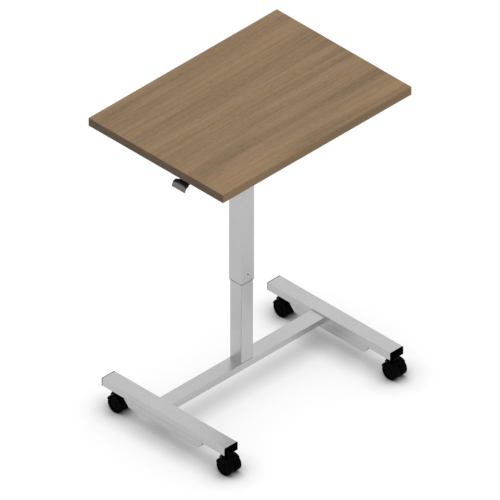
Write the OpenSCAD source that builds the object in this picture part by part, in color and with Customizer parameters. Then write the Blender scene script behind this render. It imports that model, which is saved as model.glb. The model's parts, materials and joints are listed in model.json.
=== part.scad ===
// Height adjustable personal table on four casters.
// A wood grain top sits on a telescopic square column over an H shaped base.
// A paddle lever under the left edge opens the gas spring in the column
// through a push and pull rod, a cross shaft and a finger.
// Units are millimetres. X runs along the long side of the top, the user sits
// on the -Y side, Z is up and the floor is at zero. The origin is the middle
// of the outer box on the floor.

/* [Worktop] */
// Length of the top along X
worktop_width = 711.2; // [650:0.1:900]
// Depth of the top along Y
worktop_depth = 508; // [480:0.1:620]
// Thickness of the finished top
worktop_thickness = 25.4; // [20:0.1:32]
// Thickness of the laminate skin and of the backing skin
skin_thickness = 0.8; // [0.5:0.1:1.5]
// Thickness of the edge band
band_thickness = 2; // [1:0.5:4]
// Radius that softens the long edges of the band
band_edge_r = 1; // [0.5:0.1:2]
// Radius of the four upright corners of the band
band_corner_r = 1.5; // [0.5:0.1:2]

/* [Height] */
// Height of the writing surface with the column fully down
lowest_height = 700; // [690:1:760]
// Travel of the column
stroke = 350; // [250:1:360]
// How far the top is raised in the modelled pose
raised = 233.5; // [0:0.5:250]

/* [Column] */
// Column centre behind the middle of the top
column_setback = 31.8; // [0:0.1:60]
// Outside width of the upper tube
outer_tube = 48.5; // [46:0.1:60]
// Wall of the upper tube
outer_wall = 1.2; // [1:0.1:1.3]
// Wall of the glides between the tubes
glide_wall = 0.8; // [0.6:0.1:1]
// Wall of the lower tube
inner_wall = 1.6; // [1:0.1:2.5]
// Outside corner radius of both column tubes
column_corner_r = 2.2; // [2:0.1:4]
// Gap under the upper tube with the column fully down
low_gap = 25.5; // [10:0.5:40]
// Length of each glide along the column
glide_length = 40; // [20:1:60]
// Thickness of the lip at the end of each glide
glide_lip = 2.4; // [0.8:0.1:3]

/* [Base] */
// Length of each foot tube along Y
foot_length = 460; // [400:1:560]
// Width of each foot tube
foot_width = 48; // [40:0.5:60]
// Height of each foot tube
foot_height = 25; // [20:0.5:40]
// Wall of the foot tubes
foot_wall = 1.5; // [1:0.1:3]
// Outside corner radius of the foot tubes
foot_corner_r = 2; // [1.8:0.1:4]
// Distance between the middles of the two feet
foot_spacing = 624.5; // [560:0.5:700]
// Middle of the feet in front of the column centre
foot_lead = 41.35; // [0:0.05:80]
// Height of the folded skirt under each foot tube
skirt_depth = 22.5; // [10:0.5:28]
// Length of the skirt where it meets the tube
skirt_top_length = 297.5; // [200:0.5:300]
// Length of the skirt at its lower edge
skirt_bottom_length = 257.5; // [160:0.5:260]
// Sheet thickness of the skirt
skirt_sheet = 1.5; // [1:0.1:2]
// Outside bend radius of the skirt
skirt_bend_r = 2.6; // [2.2:0.1:4]
// Width of the cross tube along Y
cross_depth = 50; // [48:0.5:70]
// Height of the cross tube
cross_height = 20; // [18:0.5:25]
// Wall of the cross tube
cross_wall = 2; // [1.2:0.1:3]
// Outside corner radius of the cross tube
cross_corner_r = 2.5; // [2:0.1:4]
// Thickness of the visible part of an end cap
cap_thickness = 2.4; // [1:0.1:4]
// Length of the plug that holds an end cap in the tube
cap_plug_length = 12; // [6:0.5:14]
// Wall of that plug
cap_plug_wall = 1.6; // [1:0.1:3]

/* [Casters] */
// Height from the floor to the underside of the foot tube
caster_height = 65; // [60:0.5:80]
// Wheel diameter
wheel_diameter = 50; // [44:0.5:52]
// Width over both wheels
caster_width = 46; // [40:0.5:47]
// Thickness of the hood web between the two wheels
web_thickness = 6.4; // [5:0.1:8]
// Distance from the stem axis back to the wheel axle
caster_trail = 18.4; // [15:0.1:22]
// Stem axis in from the end of the foot tube
stem_inset = 25; // [22:0.5:40]
// Diameter of the stem in its socket
stem_diameter = 11; // [8:0.5:12]
// Diameter of the swivel pin under the stem collar
swivel_pin_diameter = 10; // [7:0.5:11]
// Diameter of the wheel axle
axle_diameter = 6; // [5:0.5:8]
// Thickness of the hood over the wheels
hood_thickness = 1.7; // [1.5:0.1:3]
// Gap between the tread and the hood
hood_gap = 0.9; // [0.8:0.1:2]

/* [Lever] */
// Middle of the lever in front of the middle of the top
lever_offset = 83.5; // [70:0.5:110]
// Pivot in from the left edge of the top
pivot_inset = 45.6; // [40:0.1:60]
// Pivot below the underside of the top
pivot_drop = 23; // [20:0.5:30]
// Diameter of the pivot pin
pivot_pin_diameter = 5; // [4:0.5:6]
// Width of the paddle along Y
paddle_width = 49; // [40:0.5:60]
// Outer radius of the rolled lip
lip_r = 15; // [12:0.5:18]
// Middle of the lip radius, outboard of the pivot
lip_out = 29.3; // [26:0.1:34]
// Middle of the lip radius, below the pivot
lip_down = 17.7; // [15:0.1:20]
// Thickness of the metal lip
lip_sheet = 2; // [1:0.1:3]
// Thickness of the moulded cover over the lip
cover_thickness = 1.6; // [1:0.1:3]
// Swing of the lever from rest to fully lifted, in degrees
lever_swing = 12; // [8:1:14]

/* [Release linkage] */
// Length of the lever arm and of the crank that the rod joins
arm_r = 14; // [12:0.5:16]
// Diameter of the release rod
rod_diameter = 4; // [3:0.5:5]
// Diameter of the cross shaft
shaft_diameter = 8; // [6:0.5:9]
// Cross shaft axis to the left of the column centre
shaft_offset = 14; // [12:0.5:15]
// Radius of the nose of the finger over the valve pin
finger_nose_r = 4; // [3:0.5:5]

/* [Gas spring] */
// Outside diameter of the gas spring cylinder
cylinder_diameter = 28; // [22:0.5:34]
// Wall of the cylinder
cylinder_wall = 2; // [1.5:0.1:3]
// Diameter of the piston rod
piston_rod_diameter = 10; // [8:0.5:12]
// Diameter of the valve pin in the end of the piston rod
valve_pin_diameter = 3.2; // [2.5:0.1:4]
// Length of the piston
piston_length = 15; // [8:1:30]
// Rod left in the cylinder above the piston at full height
rod_reserve = 12; // [4:1:30]

/* [Support plate] */
// Length of the steel plate under the top, along X
plate_width = 260; // [200:1:320]
// Depth of that plate, along Y
plate_depth = 240; // [220:1:320]
// Sheet thickness of the plate
plate_sheet = 3; // [2:0.1:4]
// Height of the two folded edges
plate_flange = 15; // [10:0.5:16]
// Outside bend radius of the folded edges
plate_bend_r = 4.5; // [4.2:0.1:6]

/* [Hidden] */
// Facets for large, middle and small round parts
large_fn = 96;
middle_fn = 64;
small_fn = 32;
// Overrun of every cut
cut = 1;
// Radial clearance of a running fit and of a seated round piece
running_fit = 0.05;
seat_fit = 0.03;
// Clearance of a flat piece in its seat
flat_fit = 0.05;
// Clearance of each glide on the tube that slides on it
slide_fit = 0.1;
// Gap between two faces that turn past each other
turning_gap = 0.3;
// Clearance of a screw in the plate it passes through
screw_gap = 0.25;

// Worktop and heights
surface_height = lowest_height + raised;
underside_z = surface_height - worktop_thickness;
plate_z = underside_z - plate_sheet;
outer_bore = outer_tube - 2 * outer_wall;
inner_tube = outer_bore - 2 * (glide_wall + slide_fit + flat_fit);
inner_bore = inner_tube - 2 * inner_wall;
inner_corner_r = column_corner_r;
outer_bore_r = column_corner_r - outer_wall;
inner_bore_r = inner_corner_r - inner_wall;

// Places along Y: the origin is the middle of the outer box
wheel_r = wheel_diameter / 2;
foot_from_top = column_setback - foot_lead;
wheel_reach = foot_length / 2 - foot_from_top - stem_inset + caster_trail + wheel_r;
cap_reach = foot_length / 2 + cap_thickness;
front_reach = max(worktop_depth / 2, wheel_reach, cap_reach - foot_from_top);
back_reach = max(worktop_depth / 2, cap_reach + foot_from_top);
top_y = (front_reach - back_reach) / 2;
column_y = top_y + column_setback;
foot_y = column_y - foot_lead;
lever_y = top_y - lever_offset;

// Heights of the base
foot_z = caster_height + foot_height / 2;
foot_x = foot_spacing / 2;
cross_half = foot_x - foot_width / 2;
cross_z = caster_height + cross_height / 2;
cross_top_z = caster_height + cross_height;

// Weld seam between foot tube and skirt: its share of the tube's corner radius
// and how far it reaches down over the sheet
weld_share = 0.57;
weld_lap = 0.8;

// Heights of the column
low_plate_z = lowest_height - worktop_thickness - plate_sheet;
outer_length = low_plate_z - cross_top_z - low_gap;
outer_bottom_z = plate_z - outer_length;
glide_screw_rise = 23.5;
glide_screw_shank_r = 1.2;
glide_screw_head_r = 2.1;
glide_screw_head_h = 1.1;

// Valve head inside the top of the upper tube
pivot_z = underside_z - pivot_drop;
shaft_x = -shaft_offset;
nose_rise = 0.3;
pin_proud = 5;
finger_nose_drop = 6.7;
pin_top_z = pivot_z - finger_nose_drop - finger_nose_r - nose_rise;
rod_tip_z = pin_top_z - pin_proud;
rod_nut_across = 13;
rod_nut_h = 6.5;
thread_r = 4;
thread_proud = 1;
bridge_h = 6;
bridge_top_z = rod_tip_z - thread_proud - rod_nut_h;
bridge_z = bridge_top_z - bridge_h;
stop_gap = 5;
inner_top_z = bridge_z - raised - stop_gap - glide_lip;
glide_lip_opening = 34;

// Gas spring
base_plate_h = 4;
cylinder_r = cylinder_diameter / 2;
cylinder_bore_r = cylinder_r - cylinder_wall;
cylinder_floor = 8;
cylinder_head = 10;
cylinder_inset = 15;
cylinder_z = cross_top_z + base_plate_h;
cylinder_top_z = inner_top_z - cylinder_inset;
piston_rod_r = piston_rod_diameter / 2;
piston_gap = 0.1;
rod_top_low = bridge_z - raised;
rod_length = rod_top_low + stroke - (cylinder_top_z - cylinder_head) + rod_reserve + piston_length;
stud_r = 5;
stud_nut_across = 17;
stud_nut_h = 8;
stud_proud = 1.5;
nut_access_r = 11;
pin_r = valve_pin_diameter / 2;
pin_length = 18;
pin_room = 4;

// Fasteners under the top
screw_shank_r = 2.25;
screw_head_r = 4.5;
screw_head_h = 2.6;
screw_length = 20;
plate_hole_share = 0.88;
access_r = 20;

// Cross shaft, hanger and bushes
shaft_r = shaft_diameter / 2;
bush_wall = 1;
bush_flange_wall = 2.4;
bush_flange_h = 1;
hanger_sheet = 3;
hanger_width = 26;
hanger_foot = 20;
hanger_bend_r = 4;
hanger_from_lever = 16;
hanger_drop = 10;
shaft_front = 7;
shaft_back = 6;
clip_h = 1;
clip_wall = 2.5;
crank_thickness = 5;
crank_hub_r = 7.5;
crank_end_r = 5;
finger_thickness = 9;
finger_hub_r = 6.5;

// Release rod
rod_r = rod_diameter / 2;
rod_bend_r = 5;
rod_side = 9;
rod_join = 0.2;
rod_swell = 0.05;
rod_fit = 0.2;
arm_lean = lever_swing / 2;
arm_x = arm_r * sin(arm_lean);
arm_z = -arm_r * cos(arm_lean);
pivot_x = -worktop_width / 2 + pivot_inset;
rod_z = pivot_z + arm_z;
rod_start_x = pivot_x + arm_x;
rod_end_x = shaft_x + arm_x;

// Lever and its bracket
hub_width = 20;
hub_r = 9;
arm_thickness = 8;
arm_end_r = 5;
neck_width = 27;
neck_start = 13;
neck_end = 20;
neck_depth = 6.5;
lip_root = 12;
cover_reach = 10.7;
scoop_depth = 5.5;
ear_gap = 0.25;
ear_sheet = 3;
ear_r = 10;
bracket_sheet = 3;
bracket_length = 60;
bracket_width = 58;
bracket_shift = 6;
bracket_corner_r = 6;
bracket_screw_x = 22;
bracket_screw_y = 22;
bracket_screw_r = 2;
bracket_screw_head_r = 3.8;
bracket_screw_head_h = 2.2;
bracket_screw_length = 18;
pin_head_wall = 2;
pin_head_h = 1.5;
pin_end = 2.5;

// Casters
hood_inner_r = wheel_r + hood_gap;
hood_outer_r = hood_inner_r + hood_thickness;
hood_low_angle = 14;
hood_high_angle = 130;
web_set_back = 3;
web_hub_r = 9;
boss_r = 9;
boss_bottom = 31;
boss_root_r = 7;
boss_flare_r = 13;
boss_flare_z = 39;
boss_neck_z = 46;
boss_root_share = 0.3;
boss_chamfer = 1;
collar_r = 8;
collar_h = 1.7;
swivel_pin_length = 12.5;
swivel_pin_room = 0.6;
stem_length = 18;
stem_chamfer = 1;
socket_wall = 2.5;
socket_roof = 1.5;
wheel_gap = 0.4;
wheel_shoulder_r = 1.2;
wheel_rim = 3.6;
wheel_hub_r = 6;
wheel_face = 4;
wheel_dish = 1.6;
wheel_dish_inner_r = 8;
wheel_dish_outer_r = 19.5;
axle_cover = 5;
hood_top_z = caster_height - collar_h - turning_gap;

SIDES = [-1, 1];
CORNER_NAMES = ["front_left", "front_right", "rear_left", "rear_right"];
CORNERS = [[-1, -1], [1, -1], [-1, 1], [1, 1]];

// Rounded rectangle about the origin
module rounded_rect(w, d, r) {
    square([w - 2 * r, d], center = true);
    square([w, d - 2 * r], center = true);
    for (sx = SIDES, sy = SIDES)
        translate([sx * (w / 2 - r), sy * (d / 2 - r)]) circle(r = r, $fn = small_fn);
}

// Section of a tube about the origin
module tube_section(w, d, wall, r) {
    difference() {
        rounded_rect(w, d, r);
        rounded_rect(w - 2 * wall, d - 2 * wall, r - wall);
    }
}

// Upright sheet channel section, open at the top, standing on the X axis
module channel_solid(w, h, r) {
    translate([-w / 2, r]) square([w, h - r]);
    translate([r - w / 2, 0]) square([w - 2 * r, h]);
    for (sx = SIDES) translate([sx * (w / 2 - r), r]) circle(r = r, $fn = small_fn);
}

module channel_section(w, h, sheet, r) {
    difference() {
        channel_solid(w, h, r);
        translate([0, sheet]) channel_solid(w - 2 * sheet, h, r - sheet);
    }
}

// Outline of a link: two round ends joined by their common tangents
module link_outline(a, ra, b, rb) {
    d = norm(b - a);
    dir = atan2(b[1] - a[1], b[0] - a[0]);
    lean = acos((ra - rb) / d);
    ends = [for (s = SIDES) [cos(dir + s * lean), sin(dir + s * lean)]];
    translate(a) circle(r = ra, $fn = middle_fn);
    translate(b) circle(r = rb, $fn = middle_fn);
    polygon([a + ra * ends[0], b + rb * ends[0], b + rb * ends[1], a + ra * ends[1]]);
}

// Extrusion of an X, Z outline along Y, and of a Y, Z outline along X
module along_y(y0, y1) {
    translate([0, y1, 0]) rotate([90, 0, 0]) linear_extrude(y1 - y0) children();
}

module along_x(x0, x1) {
    translate([x0, 0, 0]) rotate([90, 0, 90]) linear_extrude(x1 - x0) children();
}

// Round bar along Y and along X
module bar_y(x, z, y0, y1, r, fn = middle_fn) {
    translate([x, y1, z]) rotate([90, 0, 0]) cylinder(r = r, h = y1 - y0, $fn = fn);
}

module bar_x(x0, x1, y, z, r, fn = middle_fn) {
    translate([x0, y, z]) rotate([0, 90, 0]) cylinder(r = r, h = x1 - x0, $fn = fn);
}

// Hexagon nut standing on z, with its bore
module hex_nut(x, y, z, across, h, bore_r) {
    translate([x, y, z]) difference() {
        cylinder(d = across / cos(30), h = h, $fn = 6);
        translate([0, 0, -cut]) cylinder(r = bore_r, h = h + 2 * cut, $fn = small_fn);
    }
}

// Foot tube with a hole for each caster socket in its lower wall
module foot_tube(side) {
    color("gainsboro") difference() {
        translate([side * foot_x, 0, foot_z])
            along_y(foot_y - foot_length / 2, foot_y + foot_length / 2)
                tube_section(foot_width, foot_height, foot_wall, foot_corner_r);
        for (end = SIDES)
            translate([side * foot_x, stem_y(end), caster_height - cut])
                cylinder(r = socket_r() + seat_fit, h = foot_wall + 2 * cut, $fn = middle_fn);
    }
}

function stem_y(end) = foot_y + end * (foot_length / 2 - stem_inset);
function socket_r() = stem_diameter / 2 + socket_wall;

// Folded sheet skirt with slanted ends, welded under the foot tube. The weld
// seam is ground flush and fills the round lower corner of the tube
module foot_skirt(side) {
    seam = foot_corner_r * weld_share;
    seam_half = skirt_top_length / 2 - weld_lap;
    color("gainsboro") {
        intersection() {
            translate([side * foot_x, 0, caster_height - skirt_depth])
                along_y(foot_y - skirt_top_length / 2, foot_y + skirt_top_length / 2)
                    channel_section(foot_width, skirt_depth, skirt_sheet, skirt_bend_r);
            translate([side * foot_x, foot_y, caster_height - skirt_depth])
                along_x(-foot_width, foot_width)
                    polygon([
                        [-skirt_bottom_length / 2, 0], [skirt_bottom_length / 2, 0],
                        [skirt_top_length / 2, skirt_depth], [-skirt_top_length / 2, skirt_depth]
                    ]);
        }
        for (edge = SIDES)
            translate([side * foot_x + edge * foot_width / 2, 0, caster_height])
                along_y(foot_y - seam_half, foot_y + seam_half)
                    polygon([[0, -weld_lap], [0, seam], [-edge * seam, 0], [-edge * seam, -weld_lap]]);
    }
}

// Cross tube with the stud hole above and the access hole for its nut below
module cross_tube() {
    color("gainsboro") difference() {
        translate([0, column_y, cross_z])
            along_x(-cross_half, cross_half)
                tube_section(cross_depth, cross_height, cross_wall, cross_corner_r);
        translate([0, column_y, cross_top_z - cross_wall - cut])
            cylinder(r = stud_r + running_fit, h = cross_wall + 2 * cut, $fn = small_fn);
        translate([0, column_y, caster_height - cut])
            cylinder(r = nut_access_r, h = cross_wall + 2 * cut, $fn = middle_fn);
    }
}

// Plastic end cap with a hollow plug; end is -1 at the front and 1 at the rear
module end_cap(side, end) {
    face_y = foot_y + end * foot_length / 2;
    plug_w = foot_width - 2 * (foot_wall + flat_fit);
    plug_h = foot_height - 2 * (foot_wall + flat_fit);
    plug_r = foot_corner_r - foot_wall;
    color("black") translate([side * foot_x, face_y, foot_z]) {
        along_y(min(0, end * cap_thickness), max(0, end * cap_thickness))
            rounded_rect(foot_width, foot_height, foot_corner_r);
        along_y(min(0, -end * cap_plug_length), max(0, -end * cap_plug_length)) difference() {
            rounded_rect(plug_w, plug_h, plug_r);
            rounded_rect(plug_w - 2 * cap_plug_wall, plug_h - 2 * cap_plug_wall, plug_r);
        }
    }
}

// Steel sockets pressed into the foot tubes, one over each caster
module caster_sockets() {
    socket_h = foot_height - foot_wall;
    bore_r = stem_diameter / 2 + seat_fit;
    color("silver") for (side = SIDES, end = SIDES)
        translate([side * foot_x, stem_y(end), caster_height]) difference() {
            cylinder(r = socket_r(), h = socket_h, $fn = middle_fn);
            translate([0, 0, -cut]) cylinder(r = bore_r, h = socket_h - socket_roof + cut, $fn = middle_fn);
        }
}

// Caster stems: grip stem above, collar, swivel pin below
module caster_stems() {
    stem_r = stem_diameter / 2;
    swivel_r = swivel_pin_diameter / 2;
    shank = stem_length - stem_chamfer;
    color("silver") for (side = SIDES, end = SIDES)
        translate([side * foot_x, stem_y(end), caster_height]) rotate_extrude($fn = middle_fn) polygon([
            [0, -collar_h - swivel_pin_length], [swivel_r, -collar_h - swivel_pin_length],
            [swivel_r, -collar_h], [collar_r, -collar_h], [collar_r, 0], [stem_r, 0],
            [stem_r, shank], [stem_r - stem_chamfer, stem_length], [0, stem_length]
        ]);
}

// Lower column tube, welded on the cross tube
module inner_column() {
    color("gainsboro") translate([0, column_y, cross_top_z])
        linear_extrude(inner_top_z - cross_top_z)
            tube_section(inner_tube, inner_tube, inner_wall, inner_corner_r);
}

// Plate in the foot of the lower tube that carries the gas spring
module column_base_plate() {
    w = inner_bore - 2 * flat_fit;
    color("silver") translate([0, column_y, cross_top_z]) linear_extrude(base_plate_h) difference() {
        rounded_rect(w, w, inner_bore_r);
        circle(r = stud_r + running_fit, $fn = small_fn);
    }
}

// Plastic sleeve round the top of the lower tube, with a lip over its end
module upper_glide() {
    outside = outer_bore - 2 * slide_fit;
    seat = inner_tube + 2 * flat_fit;
    color("dimgray") translate([0, column_y, inner_top_z]) {
        translate([0, 0, -glide_length]) linear_extrude(glide_length) difference() {
            rounded_rect(outside, outside, outer_bore_r);
            rounded_rect(seat, seat, inner_corner_r);
        }
        linear_extrude(glide_lip) difference() {
            rounded_rect(outside, outside, outer_bore_r);
            circle(d = glide_lip_opening, $fn = middle_fn);
        }
    }
}

// Gas spring cylinder with its sealed head and the stud below
module gas_cylinder() {
    h = cylinder_top_z - cylinder_z;
    stud_down = cross_wall + base_plate_h + stud_nut_h + stud_proud;
    color("dimgray") translate([0, column_y, cylinder_z]) rotate_extrude($fn = middle_fn) polygon([
        [0, -stud_down], [stud_r, -stud_down], [stud_r, 0], [cylinder_r, 0], [cylinder_r, h],
        [piston_rod_r + running_fit, h], [piston_rod_r + running_fit, h - cylinder_head],
        [cylinder_bore_r, h - cylinder_head], [cylinder_bore_r, cylinder_floor], [0, cylinder_floor]
    ]);
}

module gas_spring_nut() {
    color("silver") hex_nut(0, column_y, cross_top_z - cross_wall - stud_nut_h,
        stud_nut_across, stud_nut_h, stud_r + seat_fit);
}

// Piston rod with its piston, stepped down to the thread in the bridge
module gas_rod() {
    piston_r = cylinder_bore_r - piston_gap;
    thread_top = rod_tip_z - bridge_z;
    pin_bore = pin_length - pin_proud + pin_room;
    color("silver") translate([0, column_y, bridge_z]) rotate_extrude($fn = middle_fn) polygon([
        [0, -rod_length], [piston_r, -rod_length], [piston_r, piston_length - rod_length],
        [piston_rod_r, piston_length - rod_length], [piston_rod_r, 0], [thread_r, 0],
        [thread_r, thread_top], [pin_r + running_fit, thread_top],
        [pin_r + running_fit, thread_top - pin_bore], [0, thread_top - pin_bore]
    ]);
}

// Block welded in the upper tube that the piston rod hangs from
module rod_bridge() {
    w = outer_bore - 2 * flat_fit;
    color("silver") translate([0, column_y, bridge_z]) linear_extrude(bridge_h) difference() {
        rounded_rect(w, w, outer_bore_r);
        circle(r = thread_r + running_fit, $fn = small_fn);
    }
}

module rod_nut() {
    color("silver") hex_nut(0, column_y, bridge_top_z, rod_nut_across, rod_nut_h, thread_r + seat_fit);
}

// Upper column tube with the screw hole and the bush holes
module outer_column() {
    color("gainsboro") difference() {
        translate([0, column_y, outer_bottom_z]) linear_extrude(outer_length)
            tube_section(outer_tube, outer_tube, outer_wall, column_corner_r);
        bar_y(0, outer_bottom_z + glide_screw_rise, column_y - outer_tube / 2 - cut,
            column_y - outer_tube / 2 + outer_wall + cut, glide_screw_shank_r + seat_fit, small_fn);
        bar_y(shaft_x, pivot_z, column_y - outer_tube / 2 - cut, column_y + outer_tube / 2 + cut,
            shaft_r + running_fit + bush_wall + seat_fit);
    }
}

// Plastic sleeve in the bottom of the upper tube, with a lip under its end
module lower_glide() {
    outside = outer_bore - 2 * flat_fit;
    slideway = inner_tube + 2 * slide_fit;
    color("dimgray") difference() {
        translate([0, column_y, outer_bottom_z]) {
            linear_extrude(glide_length) difference() {
                rounded_rect(outside, outside, outer_bore_r);
                rounded_rect(slideway, slideway, inner_corner_r);
            }
            translate([0, 0, -glide_lip]) linear_extrude(glide_lip) difference() {
                rounded_rect(outer_tube - outer_wall, outer_tube - outer_wall, column_corner_r);
                rounded_rect(slideway, slideway, inner_corner_r);
            }
        }
        bar_y(0, outer_bottom_z + glide_screw_rise, column_y - outer_tube / 2,
            column_y - inner_tube / 2, glide_screw_shank_r + seat_fit, small_fn);
    }
}

// Small screw that holds the lower glide, on the user's side
module glide_screw() {
    face_y = column_y - outer_tube / 2;
    head_flat = glide_screw_head_h / 2;
    color("silver") translate([0, face_y, outer_bottom_z + glide_screw_rise])
        rotate([90, 0, 0]) rotate_extrude($fn = small_fn) polygon([
            [0, -outer_wall - glide_wall], [glide_screw_shank_r, -outer_wall - glide_wall],
            [glide_screw_shank_r, 0], [glide_screw_head_r, 0], [glide_screw_head_r, head_flat],
            [glide_screw_head_r - head_flat, glide_screw_head_h], [0, glide_screw_head_h]
        ]);
}

// Places of the screws through the support plate
function plate_screws() = [
    for (x = [-1, 0, 1], y = [-1, 0, 1]) if (x != 0 || y != 0)
        [x * plate_width / 2 * plate_hole_share, column_y + y * plate_depth / 2 * plate_hole_share]
];

// Steel plate with two folded edges, welded on the upper tube
module top_support_plate() {
    color("dimgray") difference() {
        translate([0, 0, underside_z]) mirror([0, 0, 1])
            along_y(column_y - plate_depth / 2, column_y + plate_depth / 2)
                channel_section(plate_width, plate_flange, plate_sheet, plate_bend_r);
        translate([0, column_y, plate_z - cut])
            cylinder(r = access_r, h = plate_sheet + 2 * cut, $fn = middle_fn);
        for (p = plate_screws()) translate([p[0], p[1], plate_z - cut])
            cylinder(r = screw_shank_r + screw_gap, h = plate_sheet + 2 * cut, $fn = small_fn);
    }
}

// The whole top with softened edges
module worktop_slab() {
    translate([0, top_y, underside_z + worktop_thickness / 2]) intersection() {
        along_y(-worktop_depth / 2, worktop_depth / 2)
            rounded_rect(worktop_width, worktop_thickness, band_edge_r);
        along_x(-worktop_width / 2, worktop_width / 2)
            rounded_rect(worktop_depth, worktop_thickness, band_edge_r);
        translate([0, 0, -worktop_thickness / 2]) linear_extrude(worktop_thickness)
            rounded_rect(worktop_width, worktop_depth, band_corner_r);
    }
}

// Layer of the top inside the edge band
module worktop_layer(z, h) {
    translate([-worktop_width / 2 + band_thickness, top_y - worktop_depth / 2 + band_thickness, z])
        cube([worktop_width - 2 * band_thickness, worktop_depth - 2 * band_thickness, h]);
}

// Pilot holes for every screw that enters the top from below
module pilot_holes() {
    for (p = plate_screws())
        pilot_hole(p, screw_shank_r, screw_length - plate_sheet);
    for (p = bracket_screws())
        pilot_hole(p, bracket_screw_r, bracket_screw_length - bracket_sheet);
}

module pilot_hole(p, shank_r, depth) {
    translate([p[0], p[1], underside_z - cut])
        cylinder(r = shank_r + seat_fit, h = depth + cut, $fn = small_fn);
}

module worktop_core() {
    color("tan") difference() {
        worktop_layer(underside_z + skin_thickness, worktop_thickness - 2 * skin_thickness);
        pilot_holes();
    }
}

module worktop_laminate() {
    color("peru") worktop_layer(surface_height - skin_thickness, skin_thickness);
}

module worktop_backer() {
    color("saddlebrown") difference() {
        worktop_layer(underside_z, skin_thickness);
        pilot_holes();
    }
}

module edge_band() {
    color("peru") difference() {
        worktop_slab();
        worktop_layer(underside_z - cut, worktop_thickness + 2 * cut);
    }
}

// Pan head screw, head down, its head seated at z
module pan_screw(p, z, shank_r, head_r, head_h, length) {
    crown = head_h / 2;
    translate([p[0], p[1], z]) rotate_extrude($fn = small_fn) polygon([
        [0, -head_h], [head_r - crown, -head_h], [head_r, -crown], [head_r, 0], [shank_r, 0],
        [shank_r, length - shank_r], [0, length]
    ]);
}

module worktop_screws() {
    color("silver") for (p = plate_screws())
        pan_screw(p, plate_z, screw_shank_r, screw_head_r, screw_head_h, screw_length);
}

// Angle bracket that carries the front end of the cross shaft
module shaft_hanger() {
    leg_y = lever_y + hanger_from_lever;
    leg_drop = plate_z - pivot_z + hanger_drop;
    bush_hole_r = shaft_r + running_fit + bush_wall + seat_fit;
    color("dimgray") difference() {
        translate([shaft_x, leg_y, plate_z]) mirror([0, 0, 1])
            along_x(-hanger_width / 2, hanger_width / 2) {
                translate([0, hanger_bend_r]) square([hanger_sheet, leg_drop - hanger_bend_r]);
                translate([hanger_bend_r, 0]) square([hanger_foot - hanger_bend_r, hanger_sheet]);
                intersection() {
                    translate([hanger_bend_r, hanger_bend_r]) difference() {
                        circle(r = hanger_bend_r, $fn = small_fn);
                        circle(r = hanger_bend_r - hanger_sheet, $fn = small_fn);
                    }
                    square([hanger_bend_r, hanger_bend_r]);
                }
            }
        bar_y(shaft_x, pivot_z, leg_y - cut, leg_y + hanger_sheet + cut, bush_hole_r);
    }
}

// Flanged bush in a wall of the given thickness; the flange is on the side facing
module flanged_bush(y, wall, facing) {
    bore = shaft_r + running_fit;
    translate([shaft_x, y, pivot_z]) rotate([facing * 90, 0, 0]) rotate_extrude($fn = middle_fn) polygon([
        [bore, -wall], [bore + bush_wall, -wall], [bore + bush_wall, 0],
        [bore + bush_flange_wall, 0], [bore + bush_flange_wall, bush_flange_h], [bore, bush_flange_h]
    ]);
}

module shaft_bushes() {
    color("ivory") {
        flanged_bush(column_y - outer_tube / 2, outer_wall, 1);
        flanged_bush(column_y + outer_tube / 2, outer_wall, -1);
        flanged_bush(lever_y + hanger_from_lever, hanger_sheet, 1);
    }
}

function bracket_screws() = [
    for (sx = SIDES, sy = SIDES)
        [pivot_x + bracket_shift + sx * bracket_screw_x, lever_y + sy * bracket_screw_y]
];

// Bracket of the lever: a base plate with two round ears
module lever_bracket() {
    ear_in = hub_width / 2 + ear_gap;
    pin_hole_r = pivot_pin_diameter / 2 + seat_fit;
    color("black") difference() {
        union() {
            translate([pivot_x + bracket_shift, lever_y, underside_z - bracket_sheet])
                linear_extrude(bracket_sheet) rounded_rect(bracket_length, bracket_width, bracket_corner_r);
            translate([pivot_x, lever_y, pivot_z]) for (y = [-ear_in - ear_sheet, ear_in])
                along_y(y, y + ear_sheet) {
                    circle(r = ear_r, $fn = middle_fn);
                    translate([-ear_r, 0]) square([2 * ear_r, pivot_drop - bracket_sheet]);
                }
        }
        bar_y(pivot_x, pivot_z, lever_y - hub_width, lever_y + hub_width, pin_hole_r);
        for (p = bracket_screws()) translate([p[0], p[1], underside_z - bracket_sheet - cut])
            cylinder(r = bracket_screw_r + screw_gap, h = bracket_sheet + 2 * cut, $fn = small_fn);
    }
}

module lever_screws() {
    color("silver") for (p = bracket_screws())
        pan_screw(p, underside_z - bracket_sheet, bracket_screw_r, bracket_screw_head_r,
            bracket_screw_head_h, bracket_screw_length);
}

// Headed pin through both ears of the bracket
module lever_pivot_pin() {
    half = hub_width / 2 + ear_gap + ear_sheet;
    r = pivot_pin_diameter / 2;
    color("silver") {
        bar_y(pivot_x, pivot_z, lever_y - half, lever_y + half + pin_end, r);
        bar_y(pivot_x, pivot_z, lever_y - half - pin_head_h, lever_y - half, r + pin_head_wall);
    }
}

// Quarter ring of the rolled lip, above and outboard of its middle, with a flat
// strip that runs back towards the pivot
module lip_section(r, sheet, root) {
    translate([-lip_out, -lip_down]) {
        intersection() {
            difference() {
                circle(r = r, $fn = large_fn);
                circle(r = r - sheet, $fn = large_fn);
            }
            translate([-r, 0]) square([r, r]);
        }
        translate([0, r - sheet]) square([lip_out - root, sheet]);
    }
}

// Plan of the paddle: full width at the lip, drawn in to the neck
module paddle_plan() {
    reach = lip_out + lip_r + cover_thickness + cut;
    polygon([
        [-reach, -paddle_width / 2], [-lip_out, -paddle_width / 2], [-neck_end, -neck_width / 2],
        [0, -neck_width / 2], [0, neck_width / 2], [-neck_end, neck_width / 2],
        [-lip_out, paddle_width / 2], [-reach, paddle_width / 2]
    ]);
}

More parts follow.
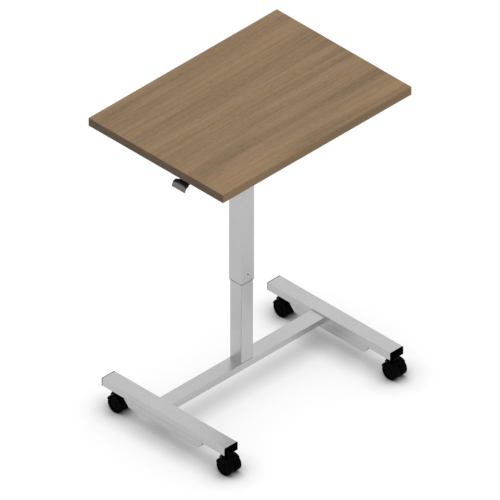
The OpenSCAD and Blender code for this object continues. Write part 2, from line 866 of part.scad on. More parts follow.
// Moulded handle: cover over the lip, neck, hub and the arm for the rod
module lever_handle() {
    cover_r = lip_r + flat_fit + cover_thickness;
    cover_top = cover_r - lip_down;
    scoop_r = (pow(paddle_width / 2, 2) + pow(scoop_depth, 2)) / (2 * scoop_depth);
    neck_bottom = lip_r - lip_down - lip_sheet - neck_depth;
    slot_bottom = lip_r - lip_down - lip_sheet - flat_fit;
    cover_end = -lip_out - cover_reach;
    color("darkslategray") translate([pivot_x, lever_y, pivot_z]) difference() {
        union() {
            intersection() {
                union() {
                    along_y(-paddle_width / 2, paddle_width / 2)
                        lip_section(cover_r, cover_thickness, neck_start);
                    along_y(-neck_width / 2, neck_width / 2) translate([-neck_end, neck_bottom])
                        square([neck_end - neck_start, cover_top - neck_bottom]);
                }
                translate([0, 0, -lip_down]) linear_extrude(cover_r) difference() {
                    paddle_plan();
                    translate([cover_end + scoop_depth - scoop_r, 0]) circle(r = scoop_r, $fn = large_fn);
                    translate([cover_end - lip_r, -paddle_width]) square([lip_r, 2 * paddle_width]);
                }
            }
            along_y(-hub_width / 2, hub_width / 2) {
                circle(r = hub_r, $fn = middle_fn);
                polygon([[-neck_start, neck_bottom], [0, -hub_r], [0, cover_top], [-neck_start, cover_top]]);
            }
            along_y(-arm_thickness / 2, arm_thickness / 2)
                link_outline([0, 0], hub_r, [arm_x, arm_z], arm_end_r);
        }
        bar_y(0, 0, -hub_width, hub_width, pivot_pin_diameter / 2 + running_fit);
        bar_y(arm_x, arm_z, -hub_width, hub_width, rod_r + rod_fit, small_fn);
        along_y(-paddle_width, paddle_width) translate([-neck_end - cut, slot_bottom])
            square([neck_end + cut - lip_root + flat_fit, lip_sheet + 2 * flat_fit]);
    }
}

// Metal lip of the paddle, held in the neck of the handle
module lever_lip() {
    color("darkgray") translate([pivot_x, lever_y, pivot_z]) intersection() {
        along_y(-paddle_width / 2, paddle_width / 2) lip_section(lip_r, lip_sheet, lip_root);
        translate([0, 0, -lip_down]) linear_extrude(lip_r) paddle_plan();
    }
}

// Bend of the release rod in the horizontal plane, a quarter turn, where the
// rod swells a little
module rod_bend(x, y, turn) {
    translate([x, y, rod_z]) rotate([0, 0, turn]) rotate_extrude(angle = 90, $fn = middle_fn)
        translate([rod_bend_r, 0]) circle(r = rod_r + rod_swell, $fn = middle_fn);
}

// Release rod with both ends bent towards +Y, into the lever arm and the crank
module release_rod() {
    main_y = lever_y - rod_side;
    bend_y = main_y + rod_bend_r;
    stub_y = bend_y - rod_join;
    lever_end = lever_y + arm_thickness / 2 + rod_fit + 2 * clip_h;
    crank_end = lever_y + crank_thickness / 2 + rod_fit + 2 * clip_h;
    color("silver") {
        bar_x(rod_start_x + rod_bend_r - rod_join, rod_end_x - rod_bend_r + rod_join, main_y, rod_z, rod_r);
        rod_bend(rod_start_x + rod_bend_r, bend_y, 180);
        rod_bend(rod_end_x - rod_bend_r, bend_y, 270);
        bar_y(rod_start_x, rod_z, stub_y, lever_end, rod_r);
        bar_y(rod_end_x, rod_z, stub_y, crank_end, rod_r);
    }
}

// Push-on clips that keep the rod in the lever arm and in the crank
module rod_clips() {
    color("dimgray") {
        rod_clip(rod_start_x, lever_y + arm_thickness / 2 + rod_fit);
        rod_clip(rod_end_x, lever_y + crank_thickness / 2 + rod_fit);
    }
}

module rod_clip(x, y) {
    difference() {
        bar_y(x, rod_z, y, y + clip_h, rod_r + clip_wall, small_fn);
        bar_y(x, rod_z, y - cut, y + clip_h + cut, rod_r + seat_fit, small_fn);
    }
}

// Cross shaft from the crank, through the hanger, to the far wall of the column
module release_shaft() {
    back_y = column_y + outer_tube / 2 + shaft_back;
    color("silver") bar_y(shaft_x, pivot_z, lever_y - shaft_front, back_y, shaft_r);
}

module release_crank() {
    color("dimgray") translate([shaft_x, lever_y, pivot_z]) difference() {
        along_y(-crank_thickness / 2, crank_thickness / 2)
            link_outline([0, 0], crank_hub_r, [arm_x, arm_z], crank_end_r);
        bar_y(0, 0, -crank_thickness, crank_thickness, shaft_r + seat_fit);
        bar_y(arm_x, arm_z, -crank_thickness, crank_thickness, rod_r + rod_fit, small_fn);
    }
}

// Finger on the shaft whose round nose presses the valve pin
module release_finger() {
    color("dimgray") translate([shaft_x, column_y, pivot_z]) difference() {
        along_y(-finger_thickness / 2, finger_thickness / 2)
            link_outline([0, 0], finger_hub_r, [shaft_offset, -finger_nose_drop], finger_nose_r);
        bar_y(0, 0, -finger_thickness, finger_thickness, shaft_r + seat_fit);
    }
}

// Ring clip on the shaft behind the column
module shaft_clip() {
    y = column_y + outer_tube / 2 + bush_flange_h + turning_gap;
    color("silver") difference() {
        bar_y(shaft_x, pivot_z, y, y + clip_h, shaft_r + clip_wall);
        bar_y(shaft_x, pivot_z, y - cut, y + clip_h + cut, shaft_r + seat_fit);
    }
}

module release_pin() {
    color("silver") translate([0, column_y, pin_top_z - pin_length])
        cylinder(r = pin_r, h = pin_length, $fn = small_fn);
}

// Places one caster part: its own frame has the stem axis at zero and the
// wheels towards -Y, with the floor at zero
module at_corner(i) {
    translate([CORNERS[i][0] * foot_x, stem_y(CORNERS[i][1]), 0]) children();
}

// Hood of the caster: cover over the wheels, web between them, swivel boss
module caster_hood(i) {
    pin_hole_z = caster_height - collar_h - swivel_pin_length - swivel_pin_room;
    pin_bore_r = swivel_pin_diameter / 2 + running_fit;
    at_corner(i) color("black") difference() {
        union() {
            translate([0, -caster_trail, wheel_r]) {
                along_x(-caster_width / 2, caster_width / 2) difference() {
                    hood_sector(hood_outer_r, 0);
                    circle(r = hood_inner_r, $fn = large_fn);
                }
                along_x(-web_thickness / 2, web_thickness / 2) {
                    hood_sector(hood_inner_r + hood_thickness / 2, web_set_back);
                    circle(r = web_hub_r, $fn = middle_fn);
                }
            }
            difference() {
                rotate_extrude($fn = middle_fn) polygon([
                    [0, boss_bottom], [boss_root_r, boss_bottom], [boss_flare_r, boss_flare_z],
                    [boss_r, boss_neck_z], [boss_r, hood_top_z - boss_chamfer],
                    [boss_r - boss_chamfer, hood_top_z], [0, hood_top_z]
                ]);
                translate([0, -caster_trail, wheel_r]) along_x(-caster_width, caster_width)
                    circle(r = hood_inner_r + hood_thickness * boss_root_share, $fn = large_fn);
            }
        }
        translate([0, 0, pin_hole_z])
            cylinder(r = pin_bore_r, h = hood_top_z - pin_hole_z + cut, $fn = middle_fn);
        translate([0, -caster_trail, wheel_r]) along_x(-caster_width, caster_width)
            circle(r = axle_diameter / 2 + seat_fit, $fn = middle_fn);
    }
}

// Slice of a disc between the two ends of the hood, set back by an angle at both
module hood_sector(r, set_back) {
    low = hood_low_angle + set_back;
    high = hood_high_angle - set_back;
    reach = 2 * r;
    intersection() {
        circle(r = r, $fn = large_fn);
        polygon([[0, 0], reach * [cos(low), sin(low)], [reach, reach], reach * [cos(high), sin(high)]]);
    }
}

module caster_axle(i) {
    half = caster_width / 2 - axle_cover;
    at_corner(i) color("silver") bar_x(-half, half, -caster_trail, wheel_r, axle_diameter / 2);
}

// One wheel as a turned section: rounded tread, dished face, hub with a blind bore
module wheel(i, side) {
    inner_x = web_thickness / 2 + wheel_gap;
    width = caster_width / 2 - inner_x;
    bore_depth = width - axle_cover + running_fit + wheel_gap;
    at_corner(i) color("black") translate([0, -caster_trail, wheel_r])
        rotate([0, side * 90, 0]) translate([0, 0, inner_x]) rotate_extrude($fn = large_fn) difference() {
            union() {
                square([wheel_r - wheel_shoulder_r, width]);
                square([wheel_r, width - wheel_shoulder_r]);
                translate([wheel_r - wheel_shoulder_r, width - wheel_shoulder_r])
                    circle(r = wheel_shoulder_r, $fn = small_fn);
            }
            translate([-cut, -cut]) square([axle_diameter / 2 + running_fit + cut, bore_depth + cut]);
            translate([wheel_hub_r, -cut])
                square([wheel_r - wheel_rim - wheel_hub_r, width - wheel_face + cut]);
            translate([wheel_dish_inner_r, width - wheel_dish])
                square([wheel_dish_outer_r - wheel_dish_inner_r, wheel_dish + cut]);
        }
}

foot_tube(-1);  // foot_tube_left
foot_tube(1);  // foot_tube_right
foot_skirt(-1);  // foot_skirt_left
foot_skirt(1);  // foot_skirt_right
cross_tube();
end_cap(-1, -1);  // end_cap_front_left
end_cap(1, -1);  // end_cap_front_right
end_cap(-1, 1);  // end_cap_rear_left
end_cap(1, 1);  // end_cap_rear_right
caster_sockets();
caster_stems();
inner_column();
column_base_plate();
upper_glide();
gas_cylinder();
gas_spring_nut();
outer_column();
lower_glide();
glide_screw();
rod_bridge();
gas_rod();
rod_nut();
top_support_plate();
worktop_core();
worktop_laminate();
worktop_backer();
edge_band();
worktop_screws();
shaft_hanger();
shaft_bushes();
lever_bracket();
lever_screws();
lever_pivot_pin();
lever_handle();
lever_lip();
release_rod();
rod_clips();
release_shaft();
release_crank();
release_finger();
shaft_clip();
release_pin();
for (i = [0:3]) {
    caster_hood(i);
    caster_axle(i);
    wheel(i, -1);
    wheel(i, 1);
}
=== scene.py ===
"""The looks of the height adjustable personal table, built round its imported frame.

Lengths are in metres, and textures repeat so many times per metre."""

import json
import math

import bmesh
import bpy
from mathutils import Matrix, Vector


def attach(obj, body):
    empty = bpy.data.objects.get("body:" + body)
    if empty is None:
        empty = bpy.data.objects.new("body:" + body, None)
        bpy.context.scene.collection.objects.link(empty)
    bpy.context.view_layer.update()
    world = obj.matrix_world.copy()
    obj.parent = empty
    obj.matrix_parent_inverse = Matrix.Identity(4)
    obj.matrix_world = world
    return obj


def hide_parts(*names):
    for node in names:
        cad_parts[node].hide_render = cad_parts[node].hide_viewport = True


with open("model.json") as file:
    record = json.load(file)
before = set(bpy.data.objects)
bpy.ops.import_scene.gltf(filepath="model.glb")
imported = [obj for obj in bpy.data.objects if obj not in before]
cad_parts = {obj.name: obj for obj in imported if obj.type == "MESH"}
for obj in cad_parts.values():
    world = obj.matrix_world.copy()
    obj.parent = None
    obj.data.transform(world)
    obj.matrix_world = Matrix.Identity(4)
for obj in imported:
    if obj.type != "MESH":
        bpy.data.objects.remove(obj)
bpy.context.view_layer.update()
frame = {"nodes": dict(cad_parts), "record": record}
NODES = frame["nodes"]
SLOTS = {part["node"]: part["material_slot"] for part in frame["record"]["subparts"]}

# Camera: a true isometric view from the front left corner
VIEW_BACK = Vector((-1, -1, 1)).normalized()
VIEW_AIM = Vector((0.0, 0.001975, 0.4513))
VIEW_DISTANCE = 6.0
VIEW_WIDTH = 1.3333
VIEW_CLIP_START = 0.1
VIEW_CLIP_END = 60.0

# Light
WORLD_STRENGTH = 1.0

# Floor: each of its shades has a reach, and a power that sets how dark it gets
FLOOR_HALF = 12.0
FLOOR_ALBEDO = 0.8
FLOOR_SEEN_LEVEL = 1.02
FLOOR_FADED_LEVEL = 1.0
FLOOR_SHADES = ((0.03, 0.6), (0.08, 1.0), (0.32, 0.5))
FLOOR_SKY_SAMPLES = 16
FLOOR_MIRROR_NEAR = 0.16
FLOOR_MIRROR_FAR = 0.4

# The Mix node's sockets, for levels and for colours: first input, second input and output
MIX_SOCKETS = {"FLOAT": (2, 3, 0), "RGBA": (6, 7, 2)}

# The levels that a noise mostly lies between, those where two tones end, and where a new stop
# of a ramp starts
NOISE_ENDS = (0.3, 0.7)
TONE_ENDS = (0.35, 0.65)
NEW_STOP = 0.5

# From here to the plastics, a noise has its repeats along X, Y and Z or along all three, a
# roughness is that at a low and at a high noise, and a bump has a depth and a strength. Colours
# are those of an 8 bit screen.

# Wood grain along X
SWAY = {"repeats": (1.7, 3.0, 3.0), "detail": 2.0}
SWAY_REACH = 0.5
BANDS = {"repeats": (0.9, 17.0, 17.0), "shift": (3.1, 0.7, 0.2), "detail": 2.0}
LINES = {"repeats": (3.4, 90.0, 90.0), "shift": (1.3, 2.2, 5.0), "detail": 4.0, "rough": 0.62}
FLECKS = {"repeats": (60.0, 420.0, 420.0), "shift": (4.0, 9.0, 1.0), "detail": 3.0, "rough": 0.6}
PORES = {"repeats": (30.0, 1100.0, 1100.0), "shift": (7.0, 1.0, 2.0), "detail": 2.0, "rough": 0.6}
BAND_SHARE = 0.34
LINE_SHARE = 0.34
FLECK_SHARE = 0.32

# Laminate of the top
TOP_TONES = (
    (0.37, (118, 98, 71)),
    (0.44, (131, 107, 80)),
    (0.51, (143, 117, 86)),
    (0.59, (155, 127, 94)),
)
TOP_ROUGHNESS = (0.62, 0.48)
TOP_SPECULAR = 0.2
TOP_BUMP = (0.00012, 0.5)

# Edge band: every face that turns at least the given share towards X, which are the faces of the short
# strips, gets darker tones as painted shade
EDGE_LONG_TONES = ((0.38, (123, 100, 73)), (0.62, (139, 115, 86)))
EDGE_PAINTED_SHADE_TONES = ((0.38, (86, 71, 54)), (0.62, (100, 84, 66)))
EDGE_SHADE_TURN = 0.8
EDGE_ROUGHNESS = (0.6, 0.5)
EDGE_SPECULAR = 0.15
EDGE_BUMP = (0.0001, 0.4)

# Backing skin of the board
BACKER_SPECK = {"repeats": 260, "detail": 4.0, "rough": 0.65}
BACKER_CLOUD = {"repeats": 9}
BACKER_SPECK_SHARE = 0.6
BACKER_CLOUD_SHARE = 0.4
BACKER_TONES = ((0.35, (112, 98, 82)), (0.65, (132, 118, 101)))
BACKER_ROUGHNESS = (0.75, 0.6)
BACKER_BUMP = (0.00008, 0.5)

# Chipboard
CHIP_CELLS = (260, 420, 900)
CHIP_GRAINS = {"repeats": (500, 500, 700), "detail": 4.0}
CHIP_CELL_SHARE = 0.6
CHIP_GRAIN_SHARE = 0.4
CHIP_TONES = ((0.25, (120, 92, 60)), (0.5, (176, 146, 104)), (0.75, (206, 180, 138)))
CHIP_ROUGHNESS = 0.95
CHIP_BUMP = (0.0004, 0.6)

# Powder coat: the tones are shares of a coat's colour, and the roughness is added to a coat's own
COAT_PEEL = {"repeats": 1150, "detail": 2.0}
COAT_CLOUD = {"repeats": 6}
COAT_FLECK = {"repeats": 2600, "detail": 1.0}
COAT_MOTTLE = {"repeats": 240, "detail": 2.0}
COAT_CLOUD_SHARE = 0.3
COAT_FLECK_SHARE = 0.3
COAT_MOTTLE_SHARE = 0.4
COAT_TONE_SHARES = (0.93, 1.07)
COAT_ROUGHNESS = (-0.04, 0.05)
COAT_BUMP = (0.00006, 0.6)
COATS = {
    "silver_paint": {"colour": (192, 192, 192), "rough": 0.3, "specular": 0.5, "metallic": 1.0},
    "black_paint": {"colour": (34, 34, 35), "rough": 0.45, "specular": 0.35, "metallic": 0.0},
}

# Bare metal, drawn along Z, with tones and roughness as for a coat
METAL_LINES = {"repeats": (900, 900, 60)}
METAL_CLOUD = {"repeats": 30}
METAL_TONE_SHARES = (0.86, 1.0)
METAL_ROUGHNESS = (-0.07, 0.1)
METAL_BUMP = (0.00002, 0.4)
METALS = {
    "zinc_steel": {"colour": (196, 198, 202), "rough": 0.32},
    "hard_chrome": {"colour": (225, 226, 229), "rough": 0.1},
    "satin_metal": {"colour": (121, 121, 120), "rough": 0.4},
}

# Moulded plastic, with tones and roughness as for a coat
PLASTIC_SPARK = {"repeats": 900}
PLASTIC_WEAR = {"repeats": 28, "detail": 4.0}
PLASTIC_TONE_SHARES = (0.85, 1.15)
PLASTIC_ROUGHNESS = (-0.06, 0.08)
PLASTIC_BUMP = (0.00005, 0.5)
PLASTICS = {
    "handle_plastic": {"colour": (38, 38, 37), "rough": 0.5, "specular": 0.12},
    "cap_plastic": {"colour": (5, 5, 5), "rough": 0.6, "specular": 0.0},
    "caster_plastic": {"colour": (5, 5, 5), "rough": 0.35, "specular": 0.02},
    "wheel_plastic": {"colour": (5, 5, 5), "rough": 0.6, "specular": 0.02},
    "glide_plastic": {"colour": (48, 48, 48), "rough": 0.5, "specular": 0.2},
    "bush_plastic": {"colour": (214, 208, 188), "rough": 0.5, "specular": 0.3},
}

# Screws: each next one is turned further by SCREW_TURN radians
SCREW_SIDES = 32
SCREW_CROWN_STEPS = 4
SCREW_TURN = 0.73
SCREWS = {
    "worktop_screws": {"head_h": 0.0026, "shank_r": 0.00225, "crown_h": 0.0013, "faces_front": False},
    "lever_screws": {"head_h": 0.0022, "shank_r": 0.002, "crown_h": 0.0011, "faces_front": False},
    "glide_screw": {"head_h": 0.0011, "shank_r": 0.0012, "crown_h": 0.0007, "faces_front": True},
}

# Shares of a screw head's radius: its flat middle, and half the width and the reach of its cross
FLAT_SHARE = 0.66
CROSS_MOUTH_SHARES = (0.13, 0.5)
CROSS_FLOOR_SHARES = (0.09, 0.24)

# The depth of the cross in a share of the head's height, and the tip in one of the shank's radius
CROSS_DEPTH_SHARE = 0.6
TIP_SHARE = 0.1

# Softened edges of the moulded pieces
CORNERS = ("front_left", "front_right", "rear_left", "rear_right")
SIDES = ("left", "right")
CAP_SOFTNESS = 0.0007
HOOD_SOFTNESS = 0.0004
WHEEL_SOFTNESS = 0.0003
HANDLE_SOFTNESS = 0.0006
SOFT_STEPS = 3
SHARP_ANGLE = math.radians(40)
WELD_REACH = 0.000005

# Decimal places to which two points of a mesh count as one
PLACE_DIGITS = 6


def srgb(r, g, b):
    """Linear colour of a screen colour, by the sRGB curve."""
    channels = [c / 255 for c in (r, g, b)]
    linear = [c / 12.92 if c <= 0.04045 else ((c + 0.055) / 1.055) ** 2.4 for c in channels]
    return (*linear, 1.0)


def shaded(colour, share):
    """A linear colour with its light times a share."""
    return (*(min(c * share, 1.0) for c in colour[:3]), 1.0)


def make_camera():
    data = bpy.data.cameras.new("Camera")
    data.type = "ORTHO"
    data.ortho_scale = VIEW_WIDTH
    data.clip_start = VIEW_CLIP_START
    data.clip_end = VIEW_CLIP_END
    camera = bpy.data.objects.new("Camera", data)
    bpy.context.scene.collection.objects.link(camera)
    camera.location = VIEW_AIM + VIEW_BACK * VIEW_DISTANCE
    camera.rotation_mode = "QUATERNION"
    camera.rotation_quaternion = (-VIEW_BACK).to_track_quat("-Z", "Y")
    bpy.context.scene.camera = camera


def make_world():
    """Even white light from all round, as in a light tent."""
    world = bpy.data.worlds.new("World")
    world.use_nodes = True
    background = world.node_tree.nodes["Background"]
    background.inputs["Color"].default_value = (1, 1, 1, 1)
    background.inputs["Strength"].default_value = WORLD_STRENGTH
    bpy.context.scene.world = world


class Nodes:
    """Short names for building one material from nodes."""

    def __init__(self, name):
        self.material = bpy.data.materials.new(name)
        self.material.use_nodes = True
        self.tree = self.material.node_tree
        for node in list(self.tree.nodes):
            self.tree.nodes.remove(node)
        self.output = self.node("ShaderNodeOutputMaterial")

    def feed(self, socket, value):
        """Gives an input a value, or links it to the output of another node."""
        if isinstance(value, bpy.types.NodeSocket):
            self.tree.links.new(value, socket)
        else:
            socket.default_value = value

    def fill(self, node, inputs):
        """Feeds the inputs of a node by their names."""
        for name, value in inputs.items():
            self.feed(node.inputs[name.replace("_", " ")], value)

    def node(self, kind, **inputs):
        """A new node with some of its inputs fed."""
        node = self.tree.nodes.new(kind)
        self.fill(node, inputs)
        return node

    def math(self, operation, a, b=0.0):
        node = self.node("ShaderNodeMath")
        node.operation = operation
        self.feed(node.inputs[0], a)
        self.feed(node.inputs[1], b)
        return node.outputs[0]

    def blend(self, *parts):
        """The sum of some levels, each times its share."""
        terms = [self.math("MULTIPLY", level, share) for level, share in parts]
        total = terms[0]
        for term in terms[1:]:
            total = self.math("ADD", total, term)
        return total

    def spread(self, level, low, high, ends=NOISE_ENDS):
        """Maps a level between two ends to one between low and high."""
        start, end = ends
        limits = {"From_Min": start, "From_Max": end, "To_Min": low, "To_Max": high}
        return self.node("ShaderNodeMapRange", Value=level, **limits).outputs[0]

    def mix(self, kind, factor, a, b):
        """Goes from a to b by a factor. The kind is FLOAT for levels and RGBA for colours."""
        first, second, result = MIX_SOCKETS[kind]
        node = self.node("ShaderNodeMix")
        node.data_type = kind
        self.feed(node.inputs[0], factor)
        self.feed(node.inputs[first], a)
        self.feed(node.inputs[second], b)
        return node.outputs[result]


class Surface(Nodes):
    """One material with a Principled surface, whose textures follow the place of each point."""

    def __init__(self, name):
        super().__init__(name)
        self.principled = self.node("ShaderNodeBsdfPrincipled")
        self.feed(self.output.inputs["Surface"], self.principled.outputs[0])
        self.geometry = self.node("ShaderNodeNewGeometry").outputs

    def set(self, **inputs):
        """Feeds inputs of the surface."""
        self.fill(self.principled, inputs)

    def stretched(self, repeats, shift=(0, 0, 0)):
        """The place of each point times the repeats."""
        scale = repeats if isinstance(repeats, tuple) else (repeats,) * 3
        place = self.geometry["Position"]
        return self.node("ShaderNodeMapping", Vector=place, Scale=scale, Location=shift).outputs[0]

    def noise(self, repeats, shift=(0, 0, 0), detail=3.0, rough=0.5, sway=None):
        """Noise at the stretched place, to which a sway can be added."""
        place = self.stretched(repeats, shift)
        if sway:
            total = self.node("ShaderNodeVectorMath")
            total.operation = "ADD"
            self.feed(total.inputs[0], place)
            self.feed(total.inputs[1], sway)
            place = total.outputs[0]
        node = self.node("ShaderNodeTexNoise", Vector=place, Scale=1.0, Detail=detail, Roughness=rough)
        return node.outputs["Fac"]

    def cells(self, repeats):
        """How far each point is from the middle of its cell."""
        node = self.node("ShaderNodeTexVoronoi", Vector=self.stretched(repeats), Scale=1.0)
        return node.outputs["Distance"]

    def ramp(self, level, stops):
        """Colour ramp. Each stop is a level and its linear colour."""
        node = self.node("ShaderNodeValToRGB")
        self.feed(node.inputs[0], level)
        elements = node.color_ramp.elements
        while len(elements) < len(stops):
            elements.new(NEW_STOP)
        for element, (place, colour) in zip(elements, stops):
            element.position = place
            element.color = colour
        return node.outputs[0]

    def tones(self, level, stops):
        """Colour ramp. Each stop is a level and its screen colour."""
        return self.ramp(level, [(place, srgb(*colour)) for place, colour in stops])

    def vary(self, level, colour, shares):
        """Colours the surface between two shares of the light of a screen colour, by a level."""
        base = srgb(*colour)
        stops = [(place, shaded(base, share)) for place, share in zip(TONE_ENDS, shares)]
        self.set(Base_Color=self.ramp(level, stops))

    def roughen(self, level, ends, base=0.0):
        """Makes the surface rough by a level, between two ends that are added to a base."""
        low, high = ends
        self.set(Roughness=self.spread(level, base + low, base + high))

    def bump(self, height, look):
        depth, strength = look
        node = self.node("ShaderNodeBump", Height=height, Distance=depth, Strength=strength)
        self.set(Normal=node.outputs[0])


def floor_material():
    """Plain matt white for the light it sends back. Seen straight or in a mirror it shows white,
    darkened by as much of the sky as the object hides from it. In a mirror further off that shade
    fades, as it does in a soft reflection."""
    s = Nodes("studio_floor")
    level = FLOOR_SEEN_LEVEL
    for reach, power in FLOOR_SHADES:
        sky = s.node("ShaderNodeAmbientOcclusion", Distance=reach)
        sky.samples = FLOOR_SKY_SAMPLES
        level = s.math("MULTIPLY", s.math("POWER", sky.outputs["AO"], power), level)
    rays = s.node("ShaderNodeLightPath").outputs
    far = s.spread(rays["Ray Length"], 0.0, 1.0, ends=(FLOOR_MIRROR_NEAR, FLOOR_MIRROR_FAR))
    faded = s.math("MULTIPLY", far, rays["Is Glossy Ray"])
    seen = s.node("ShaderNodeEmission", Strength=s.mix("FLOAT", faded, level, FLOOR_FADED_LEVEL))
    plain = s.node("ShaderNodeBsdfDiffuse", Color=(FLOOR_ALBEDO, FLOOR_ALBEDO, FLOOR_ALBEDO, 1.0))
    straight = s.math("MAXIMUM", rays["Is Camera Ray"], rays["Is Glossy Ray"])
    shown = s.math("MAXIMUM", straight, rays["Is Transmission Ray"])
    surface = s.node("ShaderNodeMixShader")
    for socket, source in zip(surface.inputs, (shown, plain.outputs[0], seen.outputs[0])):
        s.feed(socket, source)
    s.feed(s.output.inputs["Surface"], surface.outputs[0])
    return s.material


def make_floor():
    mesh = bpy.data.meshes.new("floor")
    corners = [(-1, -1), (1, -1), (1, 1), (-1, 1)]
    mesh.from_pydata([(x * FLOOR_HALF, y * FLOOR_HALF, 0) for x, y in corners], [], [(0, 1, 2, 3)])
    mesh.materials.append(floor_material())
    floor = bpy.data.objects.new("floor", mesh)
    bpy.context.scene.collection.objects.link(floor)


def wood_grain(s):
    """Tone and pores of straight grain: broad bands, lines within them and fine flecks."""
    wave = s.noise(**SWAY)
    sway = s.node("ShaderNodeCombineXYZ", Y=s.math("MULTIPLY", wave, SWAY_REACH)).outputs[0]
    bands, lines, flecks, pores = [s.noise(sway=sway, **form) for form in (BANDS, LINES, FLECKS, PORES)]
    tone = s.blend((bands, BAND_SHARE), (lines, LINE_SHARE), (flecks, FLECK_SHARE))
    return tone, pores


def wood_laminate():
    s = Surface("wood_laminate")
    tone, pores = wood_grain(s)
    s.set(Base_Color=s.tones(tone, TOP_TONES), Specular_IOR_Level=TOP_SPECULAR)
    s.roughen(pores, TOP_ROUGHNESS)
    s.bump(pores, TOP_BUMP)
    return s.material


def wood_edge():
    """Edge band: the long strips in the tone of the top, the short ones darker as painted shade on the
    faces that turn towards X.
    """
    s = Surface("wood_edge")
    tone, pores = wood_grain(s)
    normal = s.node("ShaderNodeSeparateXYZ", Vector=s.geometry["Normal"])
    # Painted shade: faces turned towards X take the darker tones of the same wood
    shaded_side = s.math("GREATER_THAN", s.math("ABSOLUTE", normal.outputs["X"]), EDGE_SHADE_TURN)
    colour = s.mix("RGBA", shaded_side, s.tones(tone, EDGE_LONG_TONES), s.tones(tone, EDGE_PAINTED_SHADE_TONES))
    s.set(Base_Color=colour, Specular_IOR_Level=EDGE_SPECULAR)
    s.roughen(pores, EDGE_ROUGHNESS)
    s.bump(pores, EDGE_BUMP)
    return s.material


def backer_laminate():
    """Plain skin under the board, with fine specks and faint clouds."""
    s = Surface("backer_laminate")
    speck = s.noise(**BACKER_SPECK)
    cloud = s.noise(**BACKER_CLOUD)
    tone = s.blend((speck, BACKER_SPECK_SHARE), (cloud, BACKER_CLOUD_SHARE))
    s.set(Base_Color=s.tones(tone, BACKER_TONES))
    s.roughen(speck, BACKER_ROUGHNESS)
    s.bump(speck, BACKER_BUMP)
    return s.material


def chipboard():
    """Raw particle board: flat chips in mixed browns."""
    s = Surface("chipboard")
    chips = s.cells(CHIP_CELLS)
    grains = s.noise(**CHIP_GRAINS)
    tone = s.blend((chips, CHIP_CELL_SHARE), (grains, CHIP_GRAIN_SHARE))
    s.set(Base_Color=s.tones(tone, CHIP_TONES), Roughness=CHIP_ROUGHNESS)
    s.bump(tone, CHIP_BUMP)
    return s.material


def powder_coat(name, colour, rough, specular, metallic):
    """Baked powder on steel: fine orange peel, slight clouding, dull and bright flecks."""
    s = Surface(name)
    peel = s.noise(**COAT_PEEL)
    cloud = s.noise(**COAT_CLOUD)
    fleck = s.noise(**COAT_FLECK)
    mottle = s.noise(**COAT_MOTTLE)
    tone = s.blend((cloud, COAT_CLOUD_SHARE), (fleck, COAT_FLECK_SHARE), (mottle, COAT_MOTTLE_SHARE))
    s.vary(tone, colour, COAT_TONE_SHARES)
    s.roughen(peel, COAT_ROUGHNESS, rough)
    s.set(Specular_IOR_Level=specular, Metallic=metallic)
    s.bump(peel, COAT_BUMP)
    return s.material


def bare_metal(name, colour, rough):
    """Bare or plated metal with drawing lines."""
    s = Surface(name)
    lines = s.noise(**METAL_LINES)
    s.vary(s.noise(**METAL_CLOUD), colour, METAL_TONE_SHARES)
    s.roughen(lines, METAL_ROUGHNESS, rough)
    s.set(Metallic=1.0)
    s.bump(lines, METAL_BUMP)
    return s.material


def plastic(name, colour, rough, specular):
    """Moulded plastic with a fine spark grain and worn sheen."""
    s = Surface(name)
    spark = s.noise(**PLASTIC_SPARK)
    wear = s.noise(**PLASTIC_WEAR)
    s.vary(wear, colour, PLASTIC_TONE_SHARES)
    s.roughen(wear, PLASTIC_ROUGHNESS, rough)
    s.set(Specular_IOR_Level=specular)
    s.bump(spark, PLASTIC_BUMP)
    return s.material


def make_materials():
    """Every material, by the slot that it fills."""
    materials = {
        "wood_laminate": wood_laminate(),
        "wood_edge": wood_edge(),
        "backer_laminate": backer_laminate(),
        "chipboard": chipboard(),
    }
    for make, looks in ((powder_coat, COATS), (bare_metal, METALS), (plastic, PLASTICS)):
        for slot, look in looks.items():
            materials[slot] = make(slot, **look)
    return materials


def dress(materials):
    """Gives each node of the frame the material of its slot."""
    for node, slot in SLOTS.items():
        mesh = NODES[node].data
        mesh.materials.clear()
        mesh.materials.append(materials[slot])


def separate_boxes(node):
    """(lowest corner, highest corner) of each separate piece in a CAD node."""
    mesh = NODES[node].data
    keys = [tuple(round(c, PLACE_DIGITS) for c in vertex.co) for vertex in mesh.vertices]
    owner = {key: key for key in keys}

    def root(key):
        while owner[key] != key:
            key = owner[key]
        return key

    for face in mesh.polygons:
        first = root(keys[face.vertices[0]])
        for index in face.vertices[1:]:
            owner[root(keys[index])] = first
    groups = {}
    for key in owner:
        groups.setdefault(root(key), []).append(key)
    boxes = []
    for group in groups.values():
        axes = list(zip(*group))
        boxes.append((tuple(map(min, axes)), tuple(map(max, axes))))
    return sorted(boxes)


def add_piece(name, bm, material, body, stands_for):
    """Makes an object of a bmesh, with its material. It rides on a body in place of a CAD node."""
    bmesh.ops.recalc_face_normals(bm, faces=bm.faces)
    mesh = bpy.data.meshes.new(name)
    bm.to_mesh(mesh)
    bm.free()
    mesh.materials.append(material)
    piece = bpy.data.objects.new(name, mesh)
    bpy.context.scene.collection.objects.link(piece)
    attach(piece, body)
    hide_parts(stands_for)


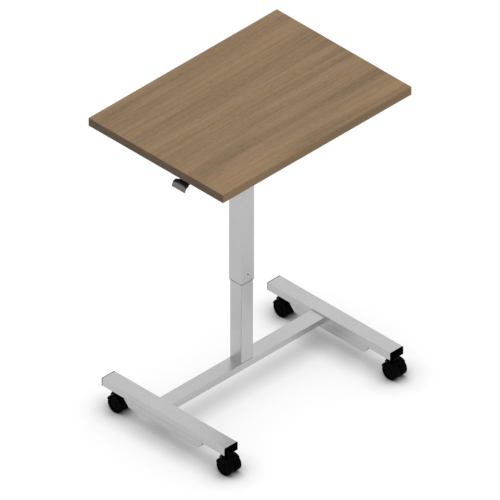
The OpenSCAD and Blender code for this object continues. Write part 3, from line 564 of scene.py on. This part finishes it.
def add_screw(bm, low, high, turn, head_h, shank_r, crown_h, faces_front):
    """One pan head screw with a tapered cross recess, which a turn in radians sets. It fills its
    box, with the head at the bottom, or in front where it faces the front."""
    down, up = (1, 2) if faces_front else (2, 1)
    head_r = (high[0] - low[0]) / 2
    length = high[down] - low[down]
    flat_r = head_r * FLAT_SHARE

    def point(x, y, depth):
        place = [(a + b) / 2 for a, b in zip(low, high)]
        place[0] += x
        place[up] += y
        place[down] = low[down] + depth
        return bm.verts.new(place)

    def ring(radius, depth):
        angles = [2 * math.pi * step / SCREW_SIDES for step in range(SCREW_SIDES)]
        return [point(radius * math.cos(angle), radius * math.sin(angle), depth) for angle in angles]

    def cross(shares, depth):
        half_width, reach = [head_r * share for share in shares]
        corners = []
        for quarter in range(4):
            angle = turn + math.pi / 2 * quarter
            for along, side in ((half_width, -half_width), (reach, -half_width), (reach, half_width)):
                x = along * math.cos(angle) - side * math.sin(angle)
                y = along * math.sin(angle) + side * math.cos(angle)
                corners.append(point(x, y, depth))
        return corners

    def neighbours(loop):
        return zip(loop, loop[1:] + loop[:1])

    def wall(one, two):
        for (a, b), (c, d) in zip(neighbours(one), neighbours(two)):
            bm.faces.new((a, b, d, c))

    profile = [(flat_r, 0.0)]
    for step in range(1, SCREW_CROWN_STEPS + 1):
        bend = math.pi / 2 * step / SCREW_CROWN_STEPS
        profile.append((flat_r + (head_r - flat_r) * math.sin(bend), crown_h * (1 - math.cos(bend))))
    profile += [(head_r, head_h), (shank_r, head_h), (shank_r, length - shank_r)]
    profile.append((shank_r * TIP_SHARE, length))
    rings = [ring(radius, depth) for radius, depth in profile]
    for one, two in zip(rings, rings[1:]):
        wall(one, two)
    bm.faces.new(rings[-1])
    mouth = cross(CROSS_MOUTH_SHARES, 0.0)
    floor = cross(CROSS_FLOOR_SHARES, head_h * CROSS_DEPTH_SHARE)
    edges = []
    for loop in (rings[0], mouth):
        for ends in neighbours(loop):
            edges.append(bm.edges.get(ends) or bm.edges.new(ends))
    bmesh.ops.triangle_fill(bm, use_beauty=True, use_dissolve=False, edges=edges)
    wall(mouth, floor)
    bm.faces.new(floor)


def recessed_screws(node, form, materials):
    """The screws of a CAD node, each with a cross recess, in place of the plain ones."""
    bm = bmesh.new()
    for number, (low, high) in enumerate(separate_boxes(node), start=1):
        add_screw(bm, low, high, SCREW_TURN * number, **form)
    slot = SLOTS[node]
    add_piece(node + "_recessed", bm, materials[slot], "lift", node)


def soften_edges(node, width):
    """Rounds the sharp moulded edges of a CAD node."""
    weld = NODES[node].modifiers.new("joined", "WELD")
    weld.merge_threshold = WELD_REACH
    bevel = NODES[node].modifiers.new("soft_edges", "BEVEL")
    bevel.width = width
    bevel.segments = SOFT_STEPS
    bevel.limit_method = "ANGLE"
    bevel.angle_limit = SHARP_ANGLE


make_camera()
make_world()
make_floor()
MATERIALS = make_materials()
dress(MATERIALS)
for screws, form in SCREWS.items():
    recessed_screws(screws, form, MATERIALS)
for corner in CORNERS:
    soften_edges("end_cap_" + corner, CAP_SOFTNESS)
    soften_edges("caster_hood_" + corner, HOOD_SOFTNESS)
    for side in SIDES:
        soften_edges("wheel_" + side + "_" + corner, WHEEL_SOFTNESS)
soften_edges("lever_handle", HANDLE_SOFTNESS)

bpy.context.scene.view_settings.view_transform = "Standard"
